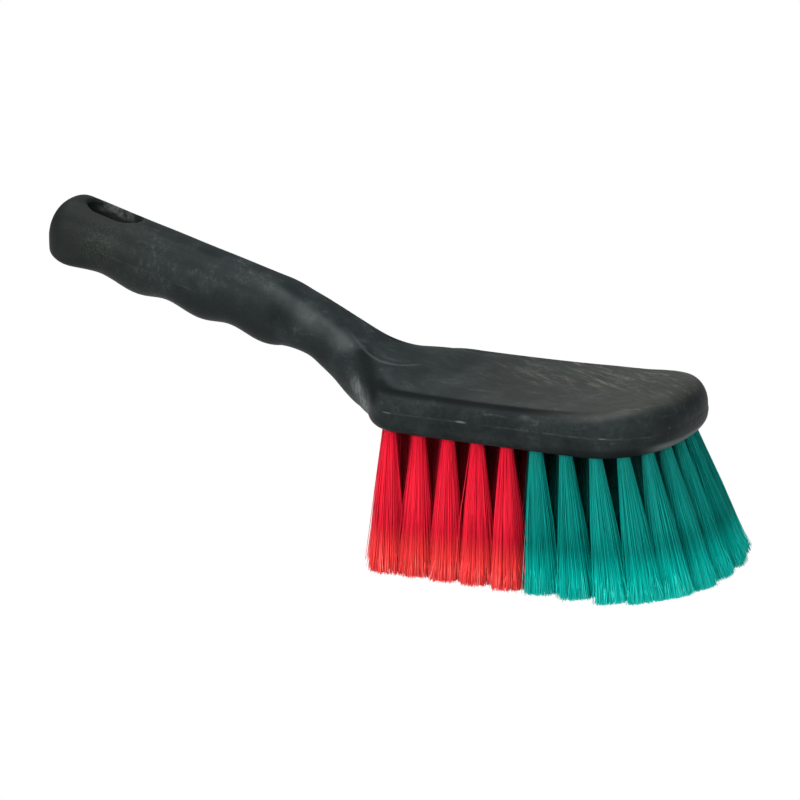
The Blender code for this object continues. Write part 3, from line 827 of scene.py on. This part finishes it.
def filament_paths(rng):
    """Each strand of a tuft: its places across and down the tuft, its radii, its shares and its tone."""
    count = FILAMENTS
    order = np.arange(count)
    spread = np.sqrt((order + 0.5) / count)
    turn = order * GOLDEN_ANGLE + rng.uniform(0, math.tau)
    root_x = ROOT_RADIUS * spread * np.cos(turn)
    root_y = ROOT_RADIUS * spread * np.sin(turn)
    tip_spread = TIP_RADIUS * spread ** TIP_SPREAD_POWER * rng.normal(1, SPREAD_VARIATION, count)
    tip_turn = turn + rng.normal(0, TURN_VARIATION, count)
    stray = rng.random(count) < STRAY_SHARE

    def scatter():
        return rng.normal(0, TIP_SCATTER, count) + stray * rng.normal(0, STRAY_SCATTER, count)

    tip_x = tip_spread * np.cos(tip_turn) + scatter()
    tip_y = tip_spread * np.sin(tip_turn) + scatter()
    length = TUFT_LENGTH - np.abs(rng.normal(0, LENGTH_VARIATION, count))
    length -= TUFT_VARIATION * rng.random()
    bend_x, bend_y = rng.normal(0, BEND_VARIATION, (2, count))
    tone = rng.random(count)
    shares = np.linspace(0, 1, FILAMENT_RINGS)
    flare = shares ** FLARE_POWER
    bow = np.sin(shares * math.pi)
    for i in range(count):
        xs = root_x[i] + (tip_x[i] - root_x[i]) * flare + bend_x[i] * bow
        ys = root_y[i] + (tip_y[i] - root_y[i]) * flare + bend_y[i] * bow
        downs = (length[i] + ROOT_DEPTH) * shares
        yield list(zip(xs, ys, downs)), FILAMENT_RADIUS * (1 - FILAMENT_TAPER * shares), shares, tone[i]
        if i % SPLIT_EVERY:
            continue
        split = rng.uniform(*SPLIT_STARTS)
        lean_x, lean_y = rng.normal(0, SPLIT_LEAN, 2)
        path, split_shares = [], (split, (split + 1) / 2, 1.0)
        for share in split_shares:
            opened = (share - split) / (1 - split)
            x = np.interp(share, shares, xs) + lean_x * opened
            y = np.interp(share, shares, ys) + lean_y * opened
            shortening = SPLIT_LOSS * opened * rng.random()
            path.append((x, y, (length[i] + ROOT_DEPTH) * share - shortening))
        yield path, SPLIT_RADII, split_shares, tone[i]


def make_tuft(name, mouth, axis, seed):
    """A sheaf of thin three-sided filaments that fan out from the hole, with split and uneven tips."""
    first = np.array(Vector((0, 1, 0)).cross(axis).normalized())
    second = np.array(axis.cross(Vector(first)))
    up = np.array(axis)
    start = np.array(mouth) + up * ROOT_DEPTH
    points, faces, along_values, tones = [], [], [], []
    for path, radii, shares, tone in filament_paths(np.random.default_rng(seed)):
        base = len(points)
        for (x, y, down), radius, share in zip(path, radii, shares):
            centre = start + first * x + second * y - up * down
            for k in range(STRAND_SIDES):
                angle = math.tau * k / STRAND_SIDES + tone * FILAMENT_TWIST
                offset = first * math.cos(angle) * radius + second * math.sin(angle) * radius
                place = centre + offset
                points.append((place[0], place[1], max(place[2], LOWEST_Z)))
                along_values.append(share)
                tones.append(tone)
        for low in range(base, len(points) - STRAND_SIDES, STRAND_SIDES):
            for k in range(STRAND_SIDES):
                a, b = low + k, low + (k + 1) % STRAND_SIDES
                faces.append((a, b, b + STRAND_SIDES, a + STRAND_SIDES))
        faces.append(tuple(range(len(points) - STRAND_SIDES, len(points))))
    mesh = bpy.data.meshes.new(name)
    mesh.from_pydata(points, [], faces)
    mesh.shade_smooth()
    inner = ease(*SHELTER_INSETS, edge_inset(mouth.x, mouth.y))
    sheltered = inner * (REAR_SHELTER + (1 - REAR_SHELTER) * ease(*SHELTER_X, mouth.x))
    add_float(mesh, "along", along_values)
    add_float(mesh, "tone", tones)
    add_float(mesh, "shelter", [sheltered] * len(points))
    return add_object(name, mesh)


class Nodes:
    """A short way to build one material's node tree."""

    def __init__(self, name):
        self.material = bpy.data.materials.new(name)
        self.material.use_nodes = True
        self.tree = self.material.node_tree
        self.shader = self.tree.nodes["Principled BSDF"]
        self.place = self.add("TexCoord", {}).outputs["Object"]

    def add(self, kind, inputs, **settings):
        """A new node with its inputs and settings."""
        node = self.tree.nodes.new("ShaderNode" + kind)
        for key, value in settings.items():
            setattr(node, key, value)
        for key, value in inputs.items():
            self.put(node.inputs[key], value)
        return node

    def put(self, target, value):
        """Link a socket, or set a constant, on an input socket."""
        if isinstance(value, bpy.types.NodeSocket):
            self.tree.links.new(value, target)
        else:
            target.default_value = value

    def shade(self, name, value):
        """Give the shader's input a socket or a constant."""
        self.put(self.shader.inputs[name], value)

    def math(self, operation, a, b=0.0):
        """One operation on sockets or numbers."""
        return self.add("Math", {0: a, 1: b}, operation=operation).outputs[0]

    def chain(self, operation, first, *others):
        """One operation on sockets or numbers, taken in turn."""
        for other in others:
            first = self.math(operation, first, other)
        return first

    def times(self, *values):
        """The product of sockets and numbers."""
        return self.chain("MULTIPLY", *values)

    def plus(self, *values):
        """The sum of sockets and numbers."""
        return self.chain("ADD", *values)

    def most(self, *values):
        """The greatest of sockets and numbers."""
        return self.chain("MAXIMUM", *values)

    def rise(self, value, least, added):
        """The least amount, and what is added to it as the value goes from 0 to 1."""
        return self.plus(least, self.times(value, added))

    def mix(self, factor, a, b):
        """Go from colour a to colour b by a factor."""
        return self.add("Mix", {0: factor, 6: a, 7: b}, data_type="RGBA").outputs[2]

    def parts(self, vector):
        """A vector's three parts."""
        return self.add("SeparateXYZ", {0: vector}).outputs

    def turned(self, angle):
        """The place, turned about the upright axis."""
        inputs = {"Vector": self.place, "Angle": angle}
        return self.add("VectorRotate", inputs, rotation_type="Z_AXIS").outputs[0]

    def noise(self, vector, scale, detail, roughness, stretch=None):
        """A noise, drawn out where the stretch is below 1."""
        if stretch:
            vector = self.add("Mapping", {"Vector": vector, "Scale": stretch}).outputs[0]
        inputs = {"Vector": vector, "Scale": scale, "Detail": detail, "Roughness": roughness}
        return self.add("TexNoise", inputs).outputs["Fac"]

    def band(self, value, start, end):
        """Go smoothly from 0 at the start to 1 at the end."""
        inputs = {"Value": value, "From Min": start, "From Max": end}
        return self.add("MapRange", inputs, interpolation_type="SMOOTHSTEP").outputs[0]

    def grains(self, noise, band, angle=0.0):
        """Where a noise sets in; an angle turns it about the upright axis."""
        vector = self.turned(angle) if angle else self.place
        return self.band(self.noise(vector, *noise), *band)

    def near(self, vector, centre, inner, outer):
        """Fall from 1 within the inner radius of a point to 0 at the outer one."""
        distance = self.add("VectorMath", {0: vector, 1: centre}, operation="DISTANCE")
        return self.band(distance.outputs["Value"], outer, inner)

    def mark(self, forward, above, length, height, strength):
        """A small mark on the head's near side, from its strength in the middle to 0 at its edge."""
        centre = (MIDDLE_X + forward, -HEAD_WIDTH / 2, UNDERSIDE_Z + above)
        reach = (length / 2, HEAD_WIDTH / 4, height / 2)
        scale = [1 / side for side in reach]
        location = [-middle / side for middle, side in zip(centre, reach)]
        mapping = self.add("Mapping", {"Vector": self.place, "Scale": scale, "Location": location})
        distance = self.add("VectorMath", {0: mapping.outputs[0]}, operation="LENGTH")
        return self.times(self.band(distance.outputs["Value"], 1.0, MARK_CORE), strength)

    def attribute(self, name):
        """A number that the mesh carries."""
        return self.add("Attribute", {}, attribute_name=name).outputs["Fac"]


class BodyNodes(Nodes):
    """The moulding's nodes, with what several of its layers read."""

    def __init__(self, name):
        super().__init__(name)
        self.x, self.y, self.z = self.parts(self.place)
        normal = self.add("NewGeometry", {}).outputs["Normal"]
        self.facing_far, self.upward = self.parts(normal)[1:]
        self.level = self.math("ABSOLUTE", self.upward)
        near_y = self.times(self.math("ABSOLUTE", self.y), -1.0)
        self.mirrored = self.add("CombineXYZ", {0: self.x, 1: near_y, 2: self.z}).outputs[0]
        self.clouds = self.noise(self.place, *CLOUDS)
        self.fine = self.noise(self.place, *FINE)
        self.on_top = self.band(self.upward, *TOP_FADE)


def speckles(n):
    """Pale speckles in the paler clouds, fewer below the parting line."""
    speckle = n.times(n.band(n.fine, *SPECKLE_BAND), n.band(n.clouds, *SPECKLED_CLOUDS))
    above = n.band(n.attribute("parting"), *SPECKLE_FADE)
    return n.times(speckle, n.rise(above, *SPECKLE_SHARES))


def grip_scrapes(n):
    """Short pale scrapes on the grip between the heel and the neck."""
    on_grip = n.times(n.band(n.x, *SCRAPE_NECK_X), n.band(n.x, *SCRAPE_HEEL_X))
    return n.times(n.grains(*SCRAPES), n.band(n.clouds, *SCRAPED_CLOUDS), on_grip, SCRAPE_SHARE)


def heel_mottle(n):
    """A grey-green mottled place on each side of the grip near its heel."""
    return n.times(n.near(n.mirrored, MOTTLE_PLACE, *MOTTLE_RADII), n.grains(*HEEL_GRAINS), MOTTLE_SHARE)


def painted_shoulder_highlight(n):
    """A cloudy painted highlight along each shoulder of the neck."""
    beside = n.band(n.attribute("shoulder"), *SHOULDER_FADE)
    return n.times(beside, n.band(n.clouds, *SHOULDER_BAND), SHOULDER_SHARE)


def painted_slot_light(n):
    """Painted light near the top of the hang slot's far wall."""
    slope = math.tan(GRIP_SLOPE)
    depth = n.math("SUBTRACT", GRIP_TOP_Z + NECK_X * slope, n.plus(n.times(n.x, slope), n.z))
    centre = (SLOT_X, SLOT_WIDTH / 2, grip_top(SLOT_X) - SLOT_LIGHT_DEPTH)
    lit_wall = n.times(n.near(n.place, centre, *SLOT_LIGHT_RADII), n.band(n.facing_far, *SLOT_LIGHT_FACING_FADE))
    return n.times(lit_wall, n.band(depth, *SLOT_LIGHT_DEPTH_FADE), n.band(n.fine, *SLOT_LIGHT_BAND), SLOT_LIGHT_SHARE)


def pale_streaks(n):
    """Fine pale streaks along the brush, faint on the grip."""
    streaked = n.rise(n.band(n.x, *STREAK_X), *STREAK_SHARES)
    return n.times(n.grains(*STREAKS), streaked)


def top_scuffs(n):
    """Slanting scuffs on the far half of the head's top."""
    worn = n.times(n.on_top, n.band(n.x, *SCUFF_X), n.band(n.y, *SCUFF_Y))
    return n.times(worn, n.grains(*SCUFFS), SCUFF_SHARE)


def nose_scuffs(n):
    """Scuffs that slant the other way on top of the nose."""
    at_nose = n.times(n.band(n.x, *CROSS_SCUFF_X), n.on_top)
    return n.times(at_nose, n.grains(*CROSS_SCUFFS), CROSS_SCUFF_SHARE)


def rubbed_patch(n):
    """Upright scratches on each side where the neck runs into the head."""
    return n.times(n.band(n.attribute("patch"), *PATCH_FADE), n.grains(*SCRATCHES))


def painted_shade_places(n):
    """Painted shade in the groove, corner, hollow and dent, flecked on the head's sides, under the lip and
    on the grip's slants.
    """
    rim = n.attribute("rim")
    in_groove = n.times(n.band(rim, *GROOVE_TOP_FADE), n.band(rim, *GROOVE_FACE_FADE))
    near_rear = n.times(n.band(n.x, *GROOVE_X), n.band(n.y, *GROOVE_Y))
    groove = n.times(in_groove, near_rear, GROOVE_SHARE)
    corner = n.times(n.band(n.attribute("corner"), *CORNER_FADE), CORNER_SHARE)
    thumb = n.times(n.near(n.mirrored, THUMB_PLACE, *THUMB_RADII), THUMB_SHARE)
    slanting = n.times(n.band(n.upward, *SLANT_LOW_FADE), n.band(n.upward, *SLANT_HIGH_FADE))
    grip_slant = n.times(slanting, n.band(n.x, *SLANT_X), SLANT_SHARE)
    on_head = n.times(n.band(n.x, *SHADE_REAR_X), n.band(n.x, *SHADE_NOSE_X))
    head_side = n.times(n.band(n.level, *SIDE_FADE), on_head)
    flecks = n.rise(n.grains(*FLECKS), *FLECK_SHARES)
    low_and_near = n.times(n.band(n.z, *UNDER_LIP_Z), n.band(n.y, *UNDER_LIP_Y))
    under_lip = n.times(low_and_near, n.band(n.x, *UNDER_LIP_X), UNDER_LIP_SHARE)
    return n.most(groove, corner, thumb, n.mark(*DENT), grip_slant, n.times(head_side, flecks), under_lip)


def painted_nose_lip_highlight(n):
    """A painted highlight on the edge low on the nose."""
    low = n.times(n.band(n.z, *NOSE_LIP_Z), n.band(n.x, *NOSE_LIP_X))
    return n.times(low, n.band(n.y, *NOSE_LIP_Y), NOSE_LIP_SHARE)


def parting_seam(n):
    """The thin, broken parting line, along the middle of the grip and round the head."""
    thin = n.band(n.math("ABSOLUTE", n.attribute("parting")), *SEAM_EDGE_FADE)
    on_grip = n.times(n.band(n.x, *SEAM_HEEL_X), n.band(n.x, *SEAM_GRIP_X))
    shown = n.times(n.most(on_grip, n.band(n.x, *SEAM_HEAD_X)), n.band(n.level, *SEAM_SIDE_FADE))
    return n.times(thin, shown, n.grains(*SEAM_BREAKS))


def tongue_crease(n):
    """The crease round the tongue on the near side, and the step in height across it."""
    tongue = n.attribute("tongue")
    fading = n.times(n.band(n.x, *CREASE_X), n.band(n.y, *CREASE_Y))
    thin = n.band(n.math("ABSOLUTE", tongue), *CREASE_EDGE_FADE)
    crease = n.times(thin, fading, n.band(n.upward, *CREASE_TOP_FADE))
    return crease, n.times(n.band(tongue, *CREASE_STEP_FADE), fading, CREASE_RELIEF)


def body_material():
    """Dark grey-green plastic with clouds, wear and a thin parting line, and painted shade, light,
    highlights and sheen.
    """
    n = BodyNodes("moulded_black")
    dark = painted_shade_places(n)
    seam = parting_seam(n)
    crease, step = tongue_crease(n)
    bright_seam = n.times(seam, n.rise(n.band(n.x, *SEAM_BRIGHT_X), *SEAM_SHARES))
    lines = n.most(bright_seam, n.times(crease, CREASE_SHARE), *[n.mark(*nick) for nick in NICKS])
    layers = (
        (speckles(n), PALE_PLASTIC_AND_HIGHLIGHT),
        (n.times(n.band(n.x, *OLIVE_X), OLIVE_SHARE), HEEL_OLIVE),
        (grip_scrapes(n), PALE_PLASTIC_AND_HIGHLIGHT),
        (heel_mottle(n), HEEL_GREY),
        # Painted highlight along the neck's shoulders
        (painted_shoulder_highlight(n), PALE_PLASTIC_AND_HIGHLIGHT),
        # Painted light on the slot's far wall
        (painted_slot_light(n), SLOT_LIGHT_GREY),
        (pale_streaks(n), PALE_PLASTIC_AND_HIGHLIGHT),
        (top_scuffs(n), WORN_AND_SHEEN_BROWN),
        (nose_scuffs(n), WORN_AND_SHEEN_BROWN),
        # Painted sheen on the head's upward faces
        (n.times(n.on_top, n.band(n.x, *TOP_SHEEN_X), TOP_SHEEN_SHARE), WORN_AND_SHEEN_BROWN),
        (rubbed_patch(n), SCRATCH_AND_HIGHLIGHT_GREY),
        # Painted shade in creases, hollows, under the lip and on the sides
        (dark, PAINTED_SHADE_BLACK),
        # Painted highlight under the nose's lip
        (painted_nose_lip_highlight(n), SCRATCH_AND_HIGHLIGHT_GREY),
        (lines, SCRATCH_AND_HIGHLIGHT_GREY),
    )
    colour = n.mix(n.band(n.clouds, *CLOUD_BAND), DARK_PLASTIC, MIDDLE_PLASTIC)
    for factor, layer in layers:
        colour = n.mix(factor, colour, layer)
    n.shade("Base Color", colour)
    n.shade("Roughness", n.plus(n.rise(n.clouds, *BODY_ROUGHNESS), n.times(dark, SHADE_ROUGHNESS)))
    n.shade("Specular IOR Level", n.times(n.math("SUBTRACT", SPECULAR_TOP, dark), BODY_SPECULAR))
    relief = n.plus(n.times(n.noise(n.place, *GRAIN), GRAIN_RELIEF), n.times(n.fine, FINE_RELIEF))
    height = n.plus(relief, n.times(seam, SEAM_RELIEF), step)
    bump = n.add("Bump", {"Strength": BUMP_STRENGTH, "Distance": BUMP_DISTANCE, "Height": height})
    n.shade("Normal", bump.outputs[0])
    return n.material


def filament_material(name, root, middle, tip, pale, shelter):
    """Coloured filament, darkened towards the root as painted shade and paler towards its frayed tip, each
    strand its own tone.
    """
    n = Nodes(name)
    along, tone = n.attribute("along"), n.attribute("tone")
    colour = n.mix(n.band(along, *MIDDLE_FADE), root, middle)
    colour = n.mix(n.times(n.band(along, *TIP_FADE), TIP_SHARE), colour, tip)
    uneven = n.plus(tone, n.noise(n.place, *FRAY_NOISE))
    colour = n.mix(n.times(n.band(along, *FRAY_FADE), n.band(uneven, *FRAY_BAND)), colour, pale)
    # Painted shade on the roots of tufts sheltered inside the head's outline
    dark = n.times(n.attribute("shelter"), n.band(along, *ROOT_SHADE_FADE))
    value = n.rise(tone, LEAST_VALUE, n.times(n.band(along, *TONE_FADE), TONE_RISE))
    value = n.times(value, n.math("SUBTRACT", 1.0, n.times(dark, shelter)))
    n.shade("Base Color", n.add("HueSaturation", {"Value": value, "Color": colour}).outputs[0])
    n.shade("Roughness", n.rise(n.band(along, *TIP_ROUGH_FADE), *FILAMENT_ROUGHNESS))
    n.shade("Specular IOR Level", FILAMENT_SPECULAR)
    return n.material


def soft_light(name, place, aim, size, power):
    """A square area light that faces a point."""
    data = bpy.data.lights.new(name, "AREA")
    data.shape = "SQUARE"
    data.size = size
    data.energy = power
    light = add_object(name, data)
    light.location = place
    light.rotation_euler = (Vector(aim) - Vector(place)).to_track_quat("-Z", "Y").to_euler()


def white_to_camera(tree, lit, white, output):
    """Show the white shader to the camera and the lit one to everything else."""
    ray = tree.nodes.new("ShaderNodeLightPath")
    blend = tree.nodes.new("ShaderNodeMixShader")
    sources = (ray.outputs["Is Camera Ray"], lit.outputs[0], white.outputs[0])
    for source, socket in zip(sources, blend.inputs):
        tree.links.new(source, socket)
    tree.links.new(blend.outputs[0], tree.nodes[output].inputs["Surface"])


def make_floor():
    """A pale floor that looks white to the camera."""
    bpy.ops.mesh.primitive_plane_add(size=FLOOR_SIZE, location=(0, 0, FLOOR_Z))
    floor = bpy.context.object
    floor.name = "studio_floor"
    material = bpy.data.materials.new("pale_floor")
    material.use_nodes = True
    tree = material.node_tree
    shader = tree.nodes["Principled BSDF"]
    shader.inputs["Base Color"].default_value = FLOOR_COLOUR
    shader.inputs["Roughness"].default_value = FLOOR_ROUGHNESS
    glow = tree.nodes.new("ShaderNodeEmission")
    glow.inputs["Color"].default_value = WHITE
    white_to_camera(tree, shader, glow, "Material Output")
    floor.data.materials.append(material)


def make_world():
    """Soft light from all round, behind which the camera sees white."""
    world = bpy.data.worlds.new("studio")
    bpy.context.scene.world = world
    world.use_nodes = True
    tree = world.node_tree
    ambient = tree.nodes["Background"]
    ambient.inputs["Color"].default_value = AMBIENT_COLOUR
    ambient.inputs["Strength"].default_value = AMBIENT_STRENGTH
    white = tree.nodes.new("ShaderNodeBackground")
    white.inputs["Color"].default_value = WHITE
    white.inputs["Strength"].default_value = 1.0
    white_to_camera(tree, ambient, white, "World Output")


def make_camera():
    """The camera, on the near side and to the nose's side, looking slightly down."""
    aim = Vector((MIDDLE_X - AIM_SETBACK, 0, AIM_HEIGHT))
    outward = Vector((math.sin(CAMERA_AZIMUTH) * math.cos(CAMERA_ELEVATION),
                      -math.cos(CAMERA_AZIMUTH) * math.cos(CAMERA_ELEVATION), math.sin(CAMERA_ELEVATION)))
    data = bpy.data.cameras.new("camera")
    data.sensor_width = SENSOR_WIDTH
    data.lens = SENSOR_WIDTH * FOCAL_SHARE
    data.clip_end = CAMERA_REACH
    camera = add_object("camera", data)
    camera.location = aim + outward * CAMERA_DISTANCE
    camera.rotation_euler = (-outward).to_track_quat("-Z", "Y").to_euler()
    camera.rotation_euler.rotate_axis("Z", CAMERA_ROLL)
    bpy.context.scene.camera = camera
    bpy.context.scene.view_settings.view_transform = "Standard"


def main():
    """Build the looks on the frame."""
    tufts = sorted(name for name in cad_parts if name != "brush_body")
    lines = {name: tuft_line(name) for name in tufts}
    body = make_body(list(lines.values()))
    body.data.materials.clear()
    body.data.materials.append(body_material())
    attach(body, "root")
    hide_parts("brush_body")
    looks = {}
    for colour, values in FILAMENT_LOOKS.items():
        looks[colour] = filament_material(f"{colour}_filaments", *values)
    for index, name in enumerate(tufts):
        colour = name.split("_")[0]
        tuft = make_tuft(name.replace("tuft", "filaments"), *lines[name], FIRST_SEED + index)
        tuft.data.materials.append(looks[colour])
        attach(tuft, "root")
        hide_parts(name)
    make_floor()
    make_world()
    for light in LIGHTS:
        soft_light(*light)
    make_camera()


main()
